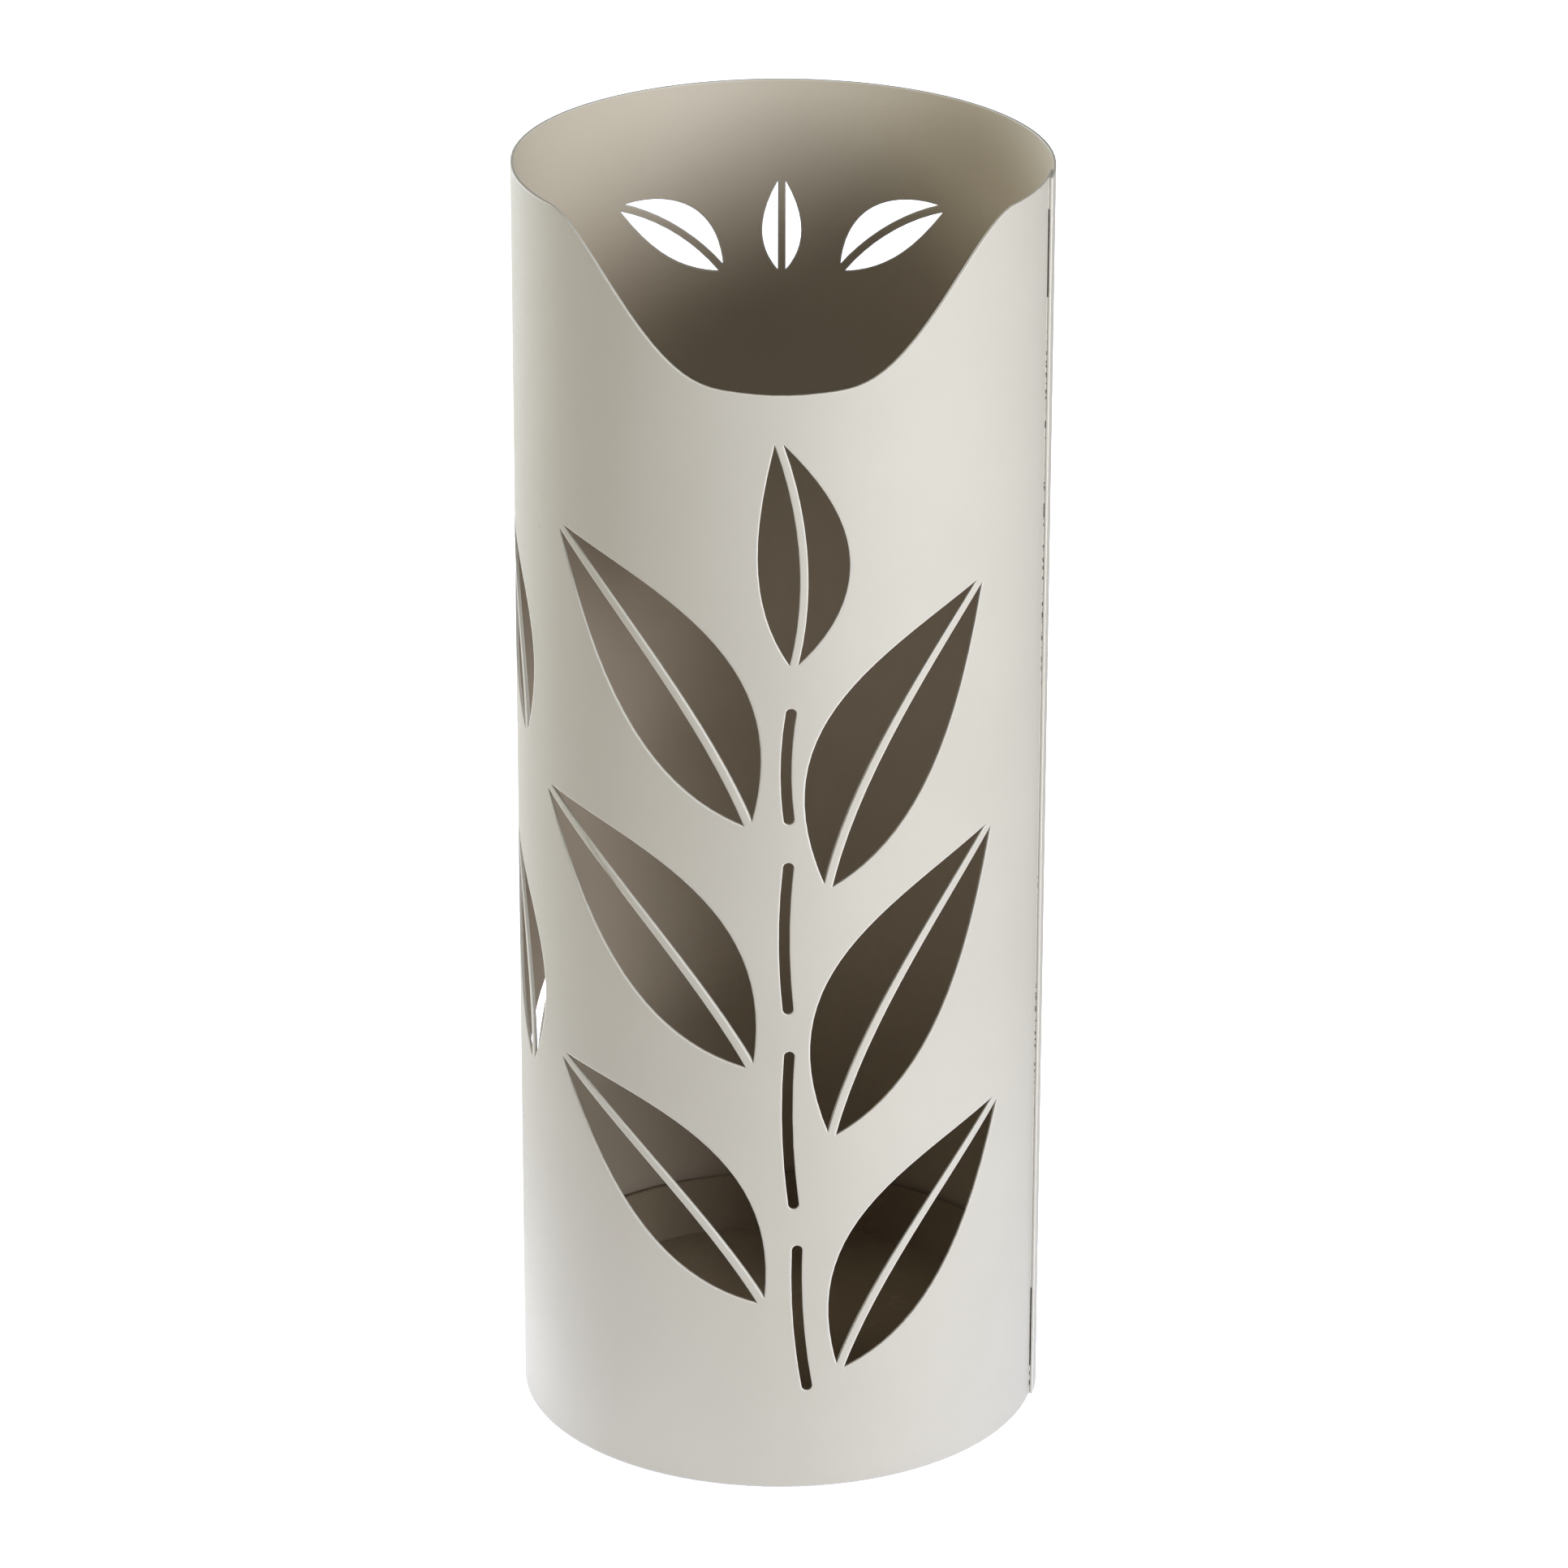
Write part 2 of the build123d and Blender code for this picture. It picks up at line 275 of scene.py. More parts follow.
class RubberSettings(bpy.types.PropertyGroup):
    """Black rubber of the four feet."""
    colour: bpy.props.FloatVectorProperty(
        name="Rubber colour",
        description="Near black of the moulded rubber",
        subtype="COLOR",
        size=3,
        min=0.0,
        max=1.0,
        default=(0.022, 0.022, 0.023),
    )
    bloom_colour: bpy.props.FloatVectorProperty(
        name="Bloom colour",
        description="Greyer tone where the rubber has bloomed",
        subtype="COLOR",
        size=3,
        min=0.0,
        max=1.0,
        default=(0.05, 0.049, 0.047),
    )
    dust_colour: bpy.props.FloatVectorProperty(
        name="Dust colour",
        description="Pale floor dust that clings to the rubber",
        subtype="COLOR",
        size=3,
        min=0.0,
        max=1.0,
        default=(0.17, 0.165, 0.15),
    )
    pebble_size: bpy.props.FloatProperty(
        name="Pebble size",
        description="Spacing of the pebbled skin of the rubber",
        subtype="DISTANCE",
        unit="LENGTH",
        default=0.0005,
    )
    pebble_depth: bpy.props.FloatProperty(
        name="Pebble depth",
        description="Height of the pebbled skin of the rubber",
        subtype="DISTANCE",
        unit="LENGTH",
        default=0.00003,
    )
    edge_radius: bpy.props.FloatProperty(
        name="Edge rounding",
        description="Radius of the edges of a foot",
        subtype="DISTANCE",
        unit="LENGTH",
        default=0.0006,
    )
    roughness: bpy.props.FloatProperty(
        name="Roughness",
        description="Middle of the rubber's roughness, around which the pebbles vary it",
        subtype="FACTOR",
        min=0.0,
        max=1.0,
        default=0.78,
    )


class ZincSettings(bpy.types.PropertyGroup):
    """Zinc plating of the screws, washers and nuts."""
    colour: bpy.props.FloatVectorProperty(
        name="Zinc colour",
        description="Cool grey of bright zinc plating",
        subtype="COLOR",
        size=3,
        min=0.0,
        max=1.0,
        default=(0.63, 0.65, 0.67),
    )
    cloud_colour: bpy.props.FloatVectorProperty(
        name="Cloud colour",
        description="Duller tone of the clouded plating",
        subtype="COLOR",
        size=3,
        min=0.0,
        max=1.0,
        default=(0.47, 0.48, 0.49),
    )
    cloud_size: bpy.props.FloatProperty(
        name="Cloud size",
        description="Size of the clouds in the plating",
        subtype="DISTANCE",
        unit="LENGTH",
        default=0.002,
    )
    scratch_size: bpy.props.FloatProperty(
        name="Scratch size",
        description="Spacing of the fine tool marks in the plating",
        subtype="DISTANCE",
        unit="LENGTH",
        default=0.0003,
    )
    scratch_depth: bpy.props.FloatProperty(
        name="Scratch depth",
        description="Depth of the fine tool marks in the plating",
        subtype="DISTANCE",
        unit="LENGTH",
        default=0.000004,
    )
    edge_radius: bpy.props.FloatProperty(
        name="Edge rounding",
        description="Radius of the edges of the screws, washers and nuts",
        subtype="DISTANCE",
        unit="LENGTH",
        default=0.0002,
    )
    roughness: bpy.props.FloatProperty(
        name="Roughness",
        description="Middle of the plating's roughness, around which the marks vary it",
        subtype="FACTOR",
        min=0.0,
        max=1.0,
        default=0.34,
    )


class StudioSettings(bpy.types.PropertyGroup):
    """Floor, lights and camera."""
    floor_colour: bpy.props.FloatVectorProperty(
        name="Floor colour",
        description="Pale floor under and behind the stand",
        subtype="COLOR",
        size=3,
        min=0.0,
        max=1.0,
        default=(0.95, 0.92, 0.875),
    )
    glow_colour: bpy.props.FloatVectorProperty(
        name="Glow colour",
        description="Colour of the light that the floor gives off",
        subtype="COLOR",
        size=3,
        min=0.0,
        max=1.0,
        default=(0.715, 0.776, 1.0),
    )
    floor_glow: bpy.props.FloatProperty(
        name="Floor glow",
        description="Light that the floor gives off all over, as a lit table does",
        default=0.128,
    )
    left_glow: bpy.props.FloatProperty(
        name="Left patch glow",
        description="Glow of the floor's bright patch on the left of the stand",
        default=1.219,
    )
    right_glow: bpy.props.FloatProperty(
        name="Right patch glow",
        description="Glow of the floor's bright patch on the right of the stand",
        default=0.816,
    )
    backdrop: bpy.props.FloatProperty(
        name="Backdrop",
        description="How bright the floor and the room behind it look",
        default=1.2,
    )
    room_light: bpy.props.FloatProperty(
        name="Room light",
        description="Light that comes from the room all round",
        default=0.25,
    )
    room_colour: bpy.props.FloatVectorProperty(
        name="Room colour",
        description="Colour of the light that comes from the room",
        subtype="COLOR",
        size=3,
        min=0.0,
        max=1.0,
        default=(1.0, 0.98, 0.88),
    )
    key_power: bpy.props.FloatProperty(
        name="Key power",
        description="Strength of the soft light in front, on the right",
        subtype="POWER",
        unit="POWER",
        default=56.5,
    )
    key_colour: bpy.props.FloatVectorProperty(
        name="Key colour",
        description="Colour of the soft light in front, on the right",
        subtype="COLOR",
        size=3,
        min=0.0,
        max=1.0,
        default=(0.908, 0.940, 1.0),
    )
    fill_power: bpy.props.FloatProperty(
        name="Fill power",
        description="Strength of the soft light on the left",
        subtype="POWER",
        unit="POWER",
        default=21.9,
    )
    fill_colour: bpy.props.FloatVectorProperty(
        name="Fill colour",
        description="Colour of the soft light on the left",
        subtype="COLOR",
        size=3,
        min=0.0,
        max=1.0,
        default=(1.0, 0.967, 0.834),
    )
    rim_power: bpy.props.FloatProperty(
        name="Rim power",
        description="Strength of the soft light behind, on the left",
        subtype="POWER",
        unit="POWER",
        default=40.6,
    )
    rim_colour: bpy.props.FloatVectorProperty(
        name="Rim colour",
        description="Colour of the soft light behind, on the left",
        subtype="COLOR",
        size=3,
        min=0.0,
        max=1.0,
        default=(0.791, 0.882, 1.0),
    )
    contrast: bpy.props.FloatProperty(
        name="Contrast",
        description="Exponent of the picture's tone curve; below one, shadows are deeper",
        default=0.82,
    )
    camera_place: bpy.props.FloatVectorProperty(
        name="Camera place",
        description="Where the camera stands, from the foot of the stand",
        subtype="TRANSLATION",
        unit="LENGTH",
        size=3,
        default=(0.0, -2.6002, 1.3333),
    )
    camera_turn: bpy.props.FloatVectorProperty(
        name="Camera turn",
        description="How far the camera is turned from looking straight down",
        subtype="EULER",
        unit="ROTATION",
        size=3,
        default=(math.radians(67.397), math.radians(-0.123), math.radians(0.022)),
    )
    camera_lens: bpy.props.FloatProperty(
        name="Lens",
        description="Focal length in millimetres on a 36 mm sensor",
        subtype="DISTANCE_CAMERA",
        unit="CAMERA",
        default=169.74,
    )


def add_node(tree, kind, inputs=(), **settings):
    """Adds a node; an input that is another node's socket is linked, any other is set."""
    node = tree.nodes.new(kind)
    for name, value in settings.items():
        setattr(node, name, value)
    for label, value in dict(inputs).items():
        if isinstance(value, bpy.types.NodeSocket):
            tree.links.new(value, node.inputs[label])
        else:
            node.inputs[label].default_value = value
    return node


def mix_colours(tree, mask, below, above):
    """One colour over another, through a mask."""
    mix = add_node(tree, "ShaderNodeMix", {0: mask, 6: below, 7: above}, data_type="RGBA")
    return mix.outputs[2]


def product(tree, value, other):
    """One value times another; of two masks, where they meet."""
    return add_node(tree, "ShaderNodeMath", {0: value, 1: other}, operation="MULTIPLY").outputs[0]


def mask_between(tree, value, start, full):
    """Mask that rises from nothing, where the value is at its start, to one."""
    rise = add_node(tree, "ShaderNodeMapRange", {"Value": value, "From Min": start, "From Max": full})
    return rise.outputs["Result"]


def colour_ramp(tree, value, stops, interpolation="LINEAR"):
    """A colour for each value: the stops are places on the ramp with their colours."""
    node = add_node(tree, "ShaderNodeValToRGB", {"Fac": value})
    ramp = node.color_ramp
    ramp.interpolation = interpolation
    for element, (position, colour) in zip(list(ramp.elements), (stops[0], stops[-1])):
        element.position = position
        element.color = solid(colour)
    for position, colour in stops[1:-1]:
        ramp.elements.new(position).color = solid(colour)
    return node.outputs["Color"]


def new_group(name, inputs, outputs):
    """A shader node group with named sockets, its given values and its results."""
    group = bpy.data.node_groups.new(name, "ShaderNodeTree")
    for label, kind in inputs:
        group.interface.new_socket(label, in_out="INPUT", socket_type="NodeSocket" + kind)
    for label, kind in outputs:
        group.interface.new_socket(label, in_out="OUTPUT", socket_type="NodeSocket" + kind)
    given = group.nodes.new("NodeGroupInput").outputs
    result = group.nodes.new("NodeGroupOutput").inputs
    return group, given, result


def tone_drift_group():
    """Slow drift between two close tones of one finish."""
    group, given, result = new_group(
        "tone_drift",
        (("Place", "Vector"), ("Scale", "Float"), ("Tone", "Color"), ("Other tone", "Color")),
        (("Colour", "Color"), ("Mask", "Float")),
    )
    cloud = add_node(group, "ShaderNodeTexNoise", {
        "Vector": given["Place"],
        "Scale": given["Scale"],
        "Detail": 4.0,
        "Roughness": 0.55,
    })
    mask = mask_between(group, cloud.outputs["Fac"], CLOUD_START, CLOUD_FULL)
    group.links.new(mix_colours(group, mask, given["Tone"], given["Other tone"]), result["Colour"])
    group.links.new(mask, result["Mask"])
    return group


def skin_grain_group():
    """Height of a fine grain: soft ripples with smaller ones on them."""
    group, given, result = new_group(
        "skin_grain",
        (("Place", "Vector"), ("Scale", "Float")),
        (("Height", "Float"), ("Roughness", "Float")),
    )
    ripple = add_node(group, "ShaderNodeTexNoise", {
        "Vector": given["Place"],
        "Scale": given["Scale"],
        "Detail": 2.5,
        "Roughness": 0.45,
    })
    rough = add_node(group, "ShaderNodeMapRange", {
        "Value": ripple.outputs["Fac"],
        "From Min": 0.3,
        "From Max": 0.7,
        "To Min": 0.94,
        "To Max": 1.06,
    })
    group.links.new(ripple.outputs["Fac"], result["Height"])
    group.links.new(rough.outputs["Result"], result["Roughness"])
    return group


def specks_group():
    """Mask of scattered round specks: a few cells of a grid hold one each."""
    group, given, result = new_group(
        "specks",
        (("Place", "Vector"), ("Scale", "Float"), ("Share", "Float"), ("Radius", "Float")),
        (("Mask", "Float"),),
    )
    cells = add_node(group, "ShaderNodeTexVoronoi", {
        "Vector": given["Place"],
        "Scale": given["Scale"],
    })
    chance = add_node(group, "ShaderNodeSeparateColor", {"Color": cells.outputs["Color"]})
    chosen = add_node(
        group, "ShaderNodeMath", {0: chance.outputs["Red"], 1: given["Share"]}, operation="LESS_THAN")
    radius = product(group, chance.outputs["Green"], given["Radius"])
    round_mask = mask_between(group, cells.outputs["Distance"], radius, 0.0)
    group.links.new(product(group, round_mask, chosen.outputs[0]), result["Mask"])
    return group


def soft_edge_group():
    """Normal that rounds the sharp edges, and a mask of where it does."""
    group, given, result = new_group(
        "soft_edge",
        (("Radius", "Float"),),
        (("Normal", "Vector"), ("Mask", "Float")),
    )
    rounding = add_node(group, "ShaderNodeBevel", {"Radius": given["Radius"]}, samples=8)
    face = add_node(group, "ShaderNodeNewGeometry")
    turn = add_node(group, "ShaderNodeVectorMath", {
        0: rounding.outputs["Normal"],
        1: face.outputs["Normal"],
    }, operation="DOT_PRODUCT")
    group.links.new(rounding.outputs["Normal"], result["Normal"])
    mask = mask_between(group, turn.outputs["Value"], EDGE_START, EDGE_FULL)
    group.links.new(mask, result["Mask"])
    return group


def shared_group(name):
    """A node group that several finishes share, made the first time that it is asked for."""
    makers = {
        "tone_drift": tone_drift_group,
        "skin_grain": skin_grain_group,
        "specks": specks_group,
        "soft_edge": soft_edge_group,
    }
    return bpy.data.node_groups.get(name) or makers[name]()


def add_group(tree, name, inputs):
    """Places a shared node group in a material with its own values."""
    return add_node(tree, "ShaderNodeGroup", inputs, node_tree=shared_group(name)).outputs


def new_material(name):
    """An empty node material: the material, its tree and its shader."""
    material = bpy.data.materials.new(name)
    material.use_nodes = True
    tree = material.node_tree
    tree.nodes.clear()
    shader = add_node(tree, "ShaderNodeBsdfPrincipled")
    add_node(tree, "ShaderNodeOutputMaterial", {"Surface": shader.outputs["BSDF"]})
    return material, tree, shader


def object_place(tree):
    """The point on the surface, in metres from the foot of the stand."""
    return add_node(tree, "ShaderNodeTexCoord").outputs["Object"]


def object_facing(tree):
    """The way that the surface faces, in the stand's own axes."""
    return add_node(tree, "ShaderNodeTexCoord").outputs["Normal"]


def solid(colour):
    """A colour setting as a socket takes it."""
    return (*colour, 1.0)


def varied_roughness(tree, shader, middle, grain):
    """Roughness that follows the grain around a middle value."""
    tree.links.new(product(tree, grain["Roughness"], middle), shader.inputs["Roughness"])


def bumped(tree, shader, height, depth, normal):
    """Grain of a given depth on the surface."""
    bump = add_node(tree, "ShaderNodeBump", {"Height": height, "Distance": depth, "Normal": normal})
    tree.links.new(bump.outputs["Normal"], shader.inputs["Normal"])


def from_axis(tree, place):
    """The way from the tube's axis to the point, level with it."""
    level = add_node(tree, "ShaderNodeVectorMath", {0: place, 1: (1.0, 1.0, 0.0)}, operation="MULTIPLY")
    return level.outputs["Vector"]


def inside_mask(tree, place):
    """Mask of the faces that look at the tube's axis."""
    outward = add_node(tree, "ShaderNodeVectorMath", {0: from_axis(tree, place)}, operation="NORMALIZE")
    facing = add_node(tree, "ShaderNodeVectorMath", {
        0: outward.outputs["Vector"],
        1: object_facing(tree),
    }, operation="DOT_PRODUCT")
    return mask_between(tree, facing.outputs["Value"], INSIDE_START, INSIDE_FULL)


def lining_light_and_shade(tree, place, paint):
    """Painted light and shade inside the tube, changing with the height: paler next to the rim, a darker
    band below it, a warm tone further down.
    """
    axes = add_node(tree, "ShaderNodeSeparateXYZ", {"Vector": place})
    return colour_ramp(tree, mask_between(tree, axes.outputs["Z"], 0.0, stand_height), (
        (LINING_START, paint.deep_colour),
        (PAINTED_SHADE_BAND, paint.inner_shade_colour),
        (1.0, paint.rim_colour),
    ), interpolation="EASE")


def near(tree, value, middle, spread):
    """Mask of where a value is close to a middle one."""
    close = add_node(tree, "ShaderNodeMath", {0: value, 1: middle, 2: spread}, operation="COMPARE")
    return close.outputs[0]


def seam_pores(tree, place):
    """Mask of the pores that lie in broken rows along the weld bead of the lap seam."""
    axes = add_node(tree, "ShaderNodeSeparateXYZ", {"Vector": place})
    forward = product(tree, axes.outputs["Y"], -1.0)
    bearing = add_node(tree, "ShaderNodeMath", {0: axes.outputs["X"], 1: forward}, operation="ARCTAN2")
    radius = add_node(tree, "ShaderNodeVectorMath", {0: from_axis(tree, place)}, operation="LENGTH")
    mask = product(
        tree,
        near(tree, bearing.outputs[0], BEAD_BEARING, BEAD_SPREAD),
        near(tree, radius.outputs["Value"], BEAD_RADIUS, BEAD_HEIGHT),
    )
    for scale, start, full in PORE_NOISES:
        cloud = add_node(tree, "ShaderNodeTexNoise", {"Vector": place, "Scale": scale, "Detail": 2.0})
        mask = product(tree, mask, mask_between(tree, cloud.outputs["Fac"], start, full))
    return mask


def powder_coat(paint):
    """Satin powder coat: soft ripples, a slow drift of tone, a few baked-in nibs, a painted highlight on
    the cut edges, and painted light and shade inside the tube.
    """
    material, tree, shader = new_material("powder_coat")
    place = object_place(tree)
    drift = add_group(tree, "tone_drift", {
        "Place": place,
        "Scale": 1.0 / paint.drift_size,
        "Tone": solid(paint.colour),
        "Other tone": solid(paint.shade),
    })
    grain = add_group(tree, "skin_grain", {"Place": place, "Scale": 1.0 / paint.peel_size})
    nibs = add_group(tree, "specks", {"Place": place, **NIBS})
    edge = add_group(tree, "soft_edge", {"Radius": paint.edge_radius})
    # Painted light and shade inside the tube, over the coat's own tone.
    painted_inside = mix_colours(tree, inside_mask(tree, place), drift["Colour"], lining_light_and_shade(tree, place, paint))
    flecked = mix_colours(tree, nibs["Mask"], painted_inside, solid(paint.nib_colour))
    # Painted highlight along the cut edges.
    highlighted = mix_colours(tree, edge["Mask"], flecked, solid(paint.edge_highlight_colour))
    pored = mix_colours(tree, seam_pores(tree, place), highlighted, solid(paint.nib_colour))
    tree.links.new(pored, shader.inputs["Base Color"])
    varied_roughness(tree, shader, paint.roughness, grain)
    bumped(tree, shader, grain["Height"], paint.peel_depth, edge["Normal"])
    return material


def tray_plastic(tray):
    """Moulded plastic: spark grain, faint flow streaks and dried drops on the faces that look up."""
    material, tree, shader = new_material("tray_plastic")
    place = object_place(tree)
    streaks = add_node(tree, "ShaderNodeMapping", {"Vector": place, "Scale": FLOW_STRETCH})
    flow = add_group(tree, "tone_drift", {
        "Place": streaks.outputs["Vector"],
        "Scale": FLOW_SCALE,
        "Tone": solid(tray.colour),
        "Other tone": solid(tray.flow_colour),
    })
    grain = add_group(tree, "skin_grain", {"Place": place, "Scale": 1.0 / tray.spark_size})
    edge = add_group(tree, "soft_edge", {"Radius": tray.edge_radius})
    drops = add_node(tree, "ShaderNodeTexVoronoi", {"Vector": place, "Scale": DROP_SCALE})
    greys = [(reach, (grey, grey, grey)) for reach, grey in DROP_STOPS]
    rings = colour_ramp(tree, drops.outputs["Distance"], greys)
    facing = add_node(tree, "ShaderNodeSeparateXYZ", {"Vector": object_facing(tree)})
    upward = mask_between(tree, facing.outputs["Z"], UPWARD_START, UPWARD_FULL)
    marks = product(tree, product(tree, rings, upward), flow["Mask"])
    stained = mix_colours(tree, marks, flow["Colour"], solid(tray.water_colour))
    tree.links.new(stained, shader.inputs["Base Color"])
    varied_roughness(tree, shader, tray.roughness, grain)
    bumped(tree, shader, grain["Height"], tray.spark_depth, edge["Normal"])
    return material


def foot_rubber(rubber):
    """Black rubber: pebbled skin, grey bloom and a little floor dust."""
    material, tree, shader = new_material("foot_rubber")
    place = object_place(tree)
    bloom = add_group(tree, "tone_drift", {
        "Place": place,
        "Scale": BLOOM_SCALE,
        "Tone": solid(rubber.colour),
        "Other tone": solid(rubber.bloom_colour),
    })
    grain = add_group(tree, "skin_grain", {"Place": place, "Scale": 1.0 / rubber.pebble_size})
    dust = add_group(tree, "specks", {"Place": place, **DUST})
    edge = add_group(tree, "soft_edge", {"Radius": rubber.edge_radius})
    dusty = mix_colours(tree, dust["Mask"], bloom["Colour"], solid(rubber.dust_colour))
    tree.links.new(dusty, shader.inputs["Base Color"])
    varied_roughness(tree, shader, rubber.roughness, grain)
    bumped(tree, shader, grain["Height"], rubber.pebble_depth, edge["Normal"])
    return material


def zinc_plate(zinc):
    """Bright zinc plating: clouded tone and fine tool marks."""
    material, tree, shader = new_material("zinc_plate")
    shader.inputs["Metallic"].default_value = 1.0
    place = object_place(tree)
    cloud = add_group(tree, "tone_drift", {
        "Place": place,
        "Scale": 1.0 / zinc.cloud_size,
        "Tone": solid(zinc.colour),
        "Other tone": solid(zinc.cloud_colour),
    })
    drawn = add_node(tree, "ShaderNodeMapping", {"Vector": place, "Scale": SCRATCH_STRETCH})
    grain = add_group(tree, "skin_grain", {
        "Place": drawn.outputs["Vector"],
        "Scale": 1.0 / zinc.scratch_size,
    })
    edge = add_group(tree, "soft_edge", {"Radius": zinc.edge_radius})
    tree.links.new(cloud["Colour"], shader.inputs["Base Color"])
    varied_roughness(tree, shader, zinc.roughness, grain)
    bumped(tree, shader, grain["Height"], zinc.scratch_depth, edge["Normal"])
    return material


def dress(names, material):
    """Puts a material on the solids with these names."""
    for name in names:
        slots = nodes[name].data.materials
        slots.clear()
        slots.append(material)


class STAND_OT_coat_steel(bpy.types.Operator):
    """Powder-coats the wall sheet and the base pan"""
    bl_idname = "stand.coat_steel"
    bl_label = "Coat Steel"

    def execute(self, context):
        dress(["wall_sheet", "base_pan"], powder_coat(context.scene.stand_paint))
        return {"FINISHED"}


class STAND_OT_mould_tray(bpy.types.Operator):
    """Gives the drip tray its moulded plastic"""
    bl_idname = "stand.mould_tray"
    bl_label = "Mould Tray"

    def execute(self, context):
        dress(["drip_tray"], tray_plastic(context.scene.stand_tray))
        return {"FINISHED"}


class STAND_OT_mould_feet(bpy.types.Operator):
    """Gives the four feet their black rubber"""
    bl_idname = "stand.mould_feet"
    bl_label = "Mould Feet"

    def execute(self, context):
        feet = [name for name in nodes if name.startswith("foot_") and name.endswith(("_left", "_right"))]
        dress(feet, foot_rubber(context.scene.stand_rubber))
        return {"FINISHED"}


class STAND_OT_plate_fasteners(bpy.types.Operator):
    """Plates the screws, washers and nuts with zinc"""
    bl_idname = "stand.plate_fasteners"
    bl_label = "Plate Fasteners"

    def execute(self, context):
        dress(["foot_screws", "foot_washers", "foot_nuts"], zinc_plate(context.scene.stand_zinc))
        return {"FINISHED"}


def soft_box(name, place, power, colour):
    """A square light at a bearing from the front and a rise, both in degrees, that looks at the stand."""
    turn, lift = (math.radians(angle) for angle in place)
    away = Vector((math.cos(lift) * math.sin(turn), -math.cos(lift) * math.cos(turn), math.sin(lift)))
    lamp = bpy.data.lights.new(name, "AREA")
    lamp.size = LIGHT_SIDE
    lamp.energy = power
    lamp.color = colour
    light = bpy.data.objects.new(name, lamp)
    light.location = Vector((0.0, 0.0, LIGHT_AIM * stand_height)) + LIGHT_DISTANCE * away
    light.rotation_euler = (-away).to_track_quat("-Z", "Y").to_euler()
    bpy.context.scene.collection.objects.link(light)


def seen_or_lit(tree, seen, lit):
    """One brightness for the picture's backdrop, another for the light that it sheds."""
    path = add_node(tree, "ShaderNodeLightPath")
    choice = add_node(tree, "ShaderNodeMapRange", {
        "Value": path.outputs["Is Camera Ray"],
        "To Min": lit,
        "To Max": seen,
    })
    return choice.outputs["Result"]


def floor_light(tree, studio):
    """Glow of the floor: faint, but for a bright patch on each side of the stand."""
    place = object_place(tree)
    glow = studio.floor_glow
    for centre, patch_glow in ((LEFT_PATCH, studio.left_glow), (RIGHT_PATCH, studio.right_glow)):
        apart = add_node(tree, "ShaderNodeVectorMath", {0: place, 1: centre}, operation="DISTANCE")
        patch = add_node(tree, "ShaderNodeMapRange", {
            "Value": apart.outputs["Value"],
            "From Min": PATCH_CORE,
            "From Max": PATCH_REACH,
            "To Min": patch_glow,
            "To Max": 0.0,
        }, interpolation_type="SMOOTHSTEP")
        both = add_node(tree, "ShaderNodeMath", {0: glow, 1: patch.outputs["Result"]}, operation="ADD")
        glow = both.outputs[0]
    return glow


def lay_floor(studio):
    """The pale floor, which glows as a lit table does."""
    bpy.ops.object.select_all(action="DESELECT")
    bpy.ops.mesh.primitive_plane_add(size=FLOOR_SIDE, location=(0.0, 0.0, 0.0))
    floor = bpy.context.object
    floor.name = "floor"
    material, tree, shader = new_material("pale_floor")
    shader.inputs["Base Color"].default_value = solid(studio.floor_colour)
    shader.inputs["Roughness"].default_value = FLOOR_ROUGHNESS
    shader.inputs["Emission Color"].default_value = solid(studio.glow_colour)
    glow = seen_or_lit(tree, studio.backdrop, floor_light(tree, studio))
    tree.links.new(glow, shader.inputs["Emission Strength"])
    floor.data.materials.append(material)


def light_room(scene, studio):
    """The light from the room all round."""
    world = bpy.data.worlds.new("studio")
    world.use_nodes = True
    tree = world.node_tree
    background = tree.nodes["Background"]
    background.inputs["Color"].default_value = solid(studio.room_colour)
    tree.links.new(seen_or_lit(tree, studio.backdrop, studio.room_light), background.inputs["Strength"])
    scene.world = world


def set_tones(scene, studio):
    """The tone curve of the picture."""
    scene.view_settings.view_transform = "Standard"
    scene.view_settings.gamma = studio.contrast


def place_camera(scene, studio):
    """The camera, at the photograph's viewing angle."""
    lens = bpy.data.cameras.new("camera")
    lens.sensor_width = SENSOR_WIDTH
    lens.lens = studio.camera_lens
    camera = bpy.data.objects.new("camera", lens)
    camera.location = studio.camera_place
    camera.rotation_euler = studio.camera_turn
    scene.collection.objects.link(camera)
    scene.camera = camera


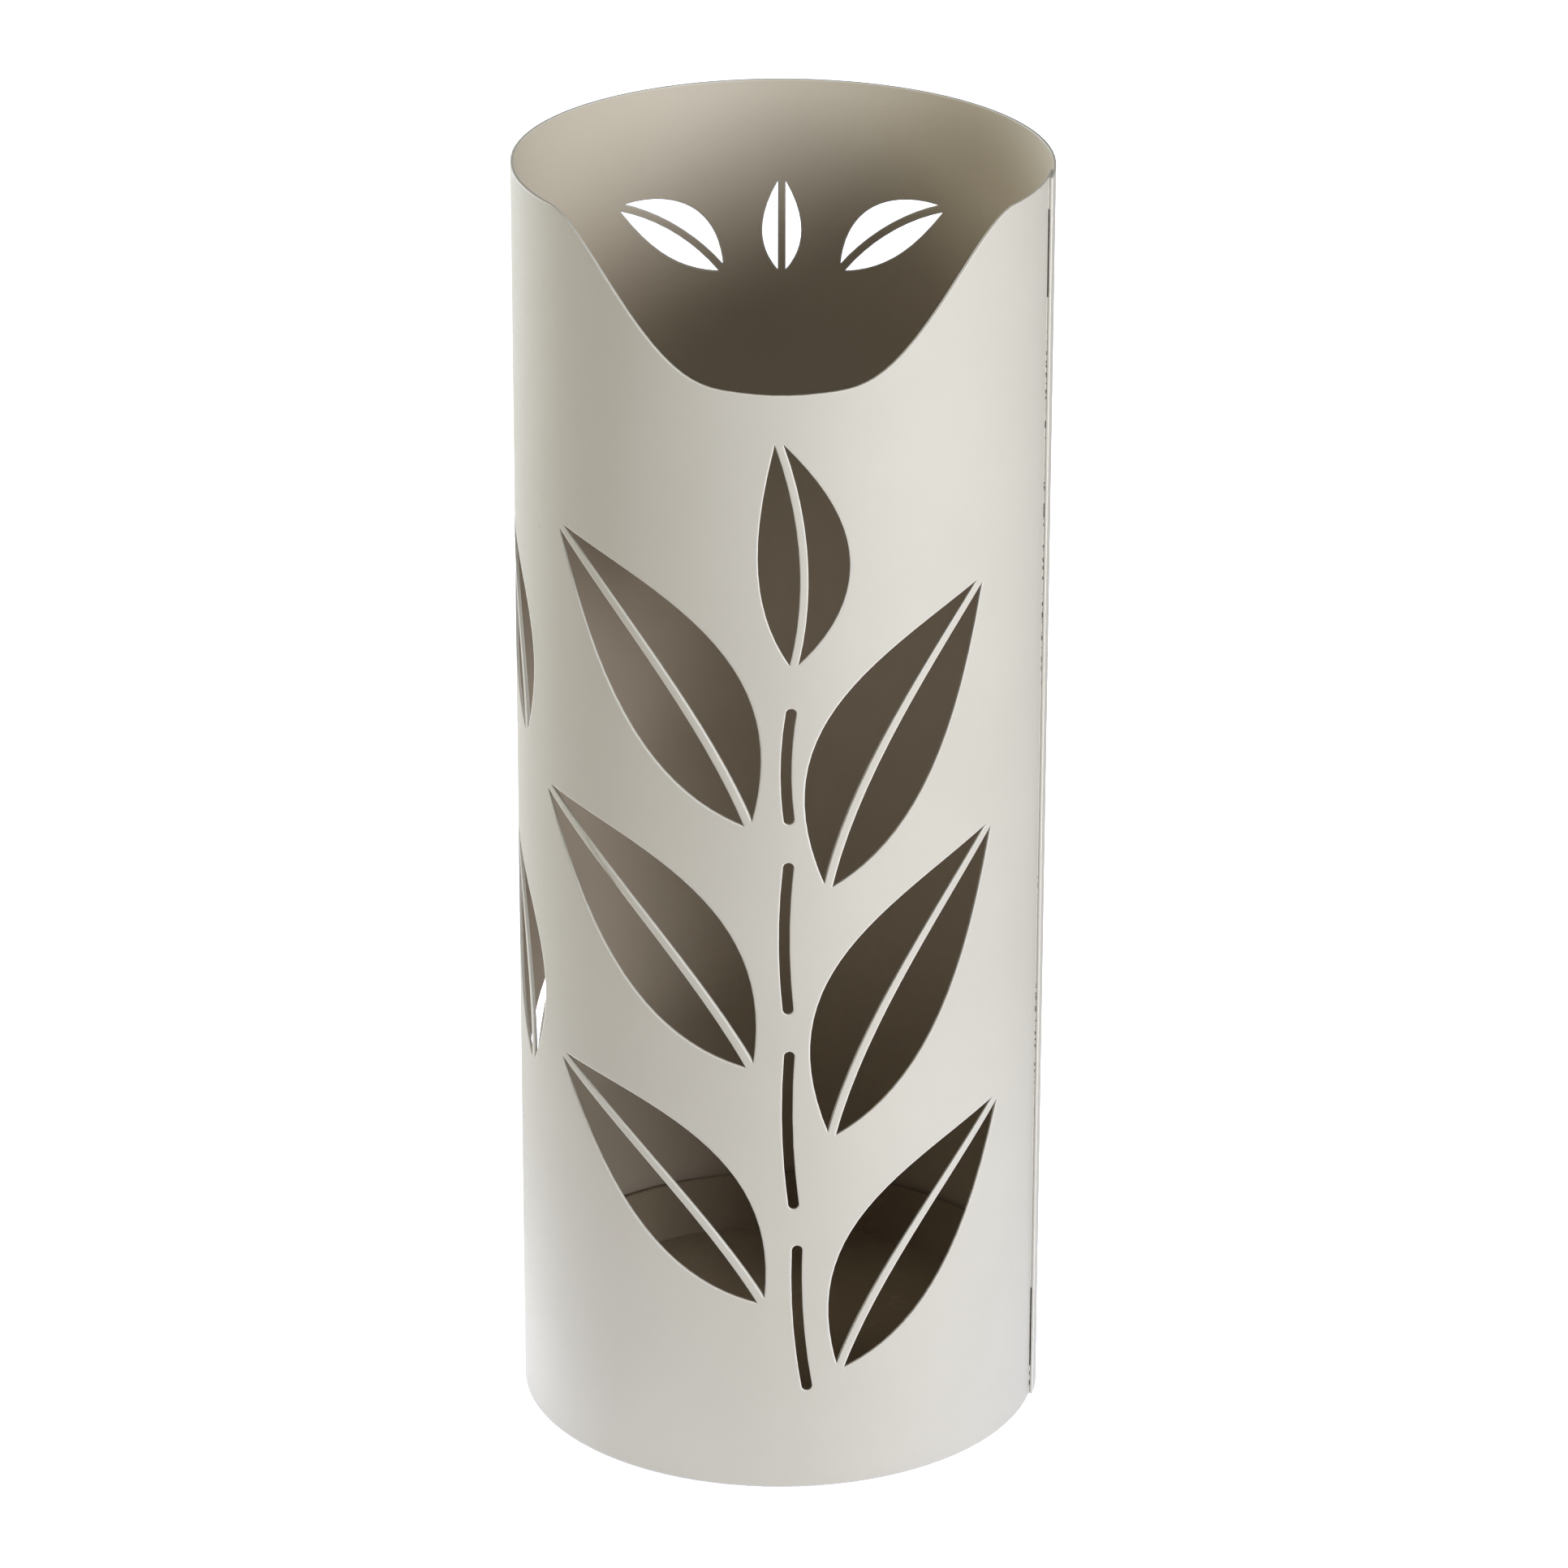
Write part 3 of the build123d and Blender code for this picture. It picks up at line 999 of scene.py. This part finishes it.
class STAND_OT_set_stage(bpy.types.Operator):
    """Sets the floor, the lights and the camera"""
    bl_idname = "stand.set_stage"
    bl_label = "Set Stage"

    def execute(self, context):
        studio = context.scene.stand_studio
        lay_floor(studio)
        soft_box("key", KEY_PLACE, studio.key_power, studio.key_colour)
        soft_box("fill", FILL_PLACE, studio.fill_power, studio.fill_colour)
        soft_box("rim", RIM_PLACE, studio.rim_power, studio.rim_colour)
        light_room(context.scene, studio)
        set_tones(context.scene, studio)
        place_camera(context.scene, studio)
        return {"FINISHED"}


SETTINGS = {
    "stand_paint": PaintSettings,
    "stand_tray": TraySettings,
    "stand_rubber": RubberSettings,
    "stand_zinc": ZincSettings,
    "stand_studio": StudioSettings,
}
OPERATORS = (
    STAND_OT_coat_steel,
    STAND_OT_mould_tray,
    STAND_OT_mould_feet,
    STAND_OT_plate_fasteners,
    STAND_OT_set_stage,
)


class STAND_PT_sidebar(bpy.types.Panel):
    """Sidebar of the umbrella stand"""
    bl_idname = "STAND_PT_sidebar"
    bl_label = "Umbrella Stand"
    bl_space_type = "VIEW_3D"
    bl_region_type = "UI"
    bl_category = "Stand"

    def draw(self, context):
        for key, group in SETTINGS.items():
            box = self.layout.box()
            for name in group.__annotations__:
                box.prop(getattr(context.scene, key), name)
        for operator in OPERATORS:
            self.layout.operator(operator.bl_idname)


CLASSES = (*SETTINGS.values(), *OPERATORS, STAND_PT_sidebar)


def register():
    """Adds the settings, the operators and the panel to Blender."""
    for cls in CLASSES:
        bpy.utils.register_class(cls)
    for key, group in SETTINGS.items():
        setattr(bpy.types.Scene, key, bpy.props.PointerProperty(type=group))


def unregister():
    """Takes the settings, the operators and the panel out again."""
    for key in SETTINGS:
        delattr(bpy.types.Scene, key)
    for cls in reversed(CLASSES):
        bpy.utils.unregister_class(cls)


def main():
    """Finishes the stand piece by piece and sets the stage."""
    register()
    bpy.ops.stand.coat_steel()
    bpy.ops.stand.mould_tray()
    bpy.ops.stand.mould_feet()
    bpy.ops.stand.plate_fasteners()
    bpy.ops.stand.set_stage()


if __name__ == "__main__":
    main()
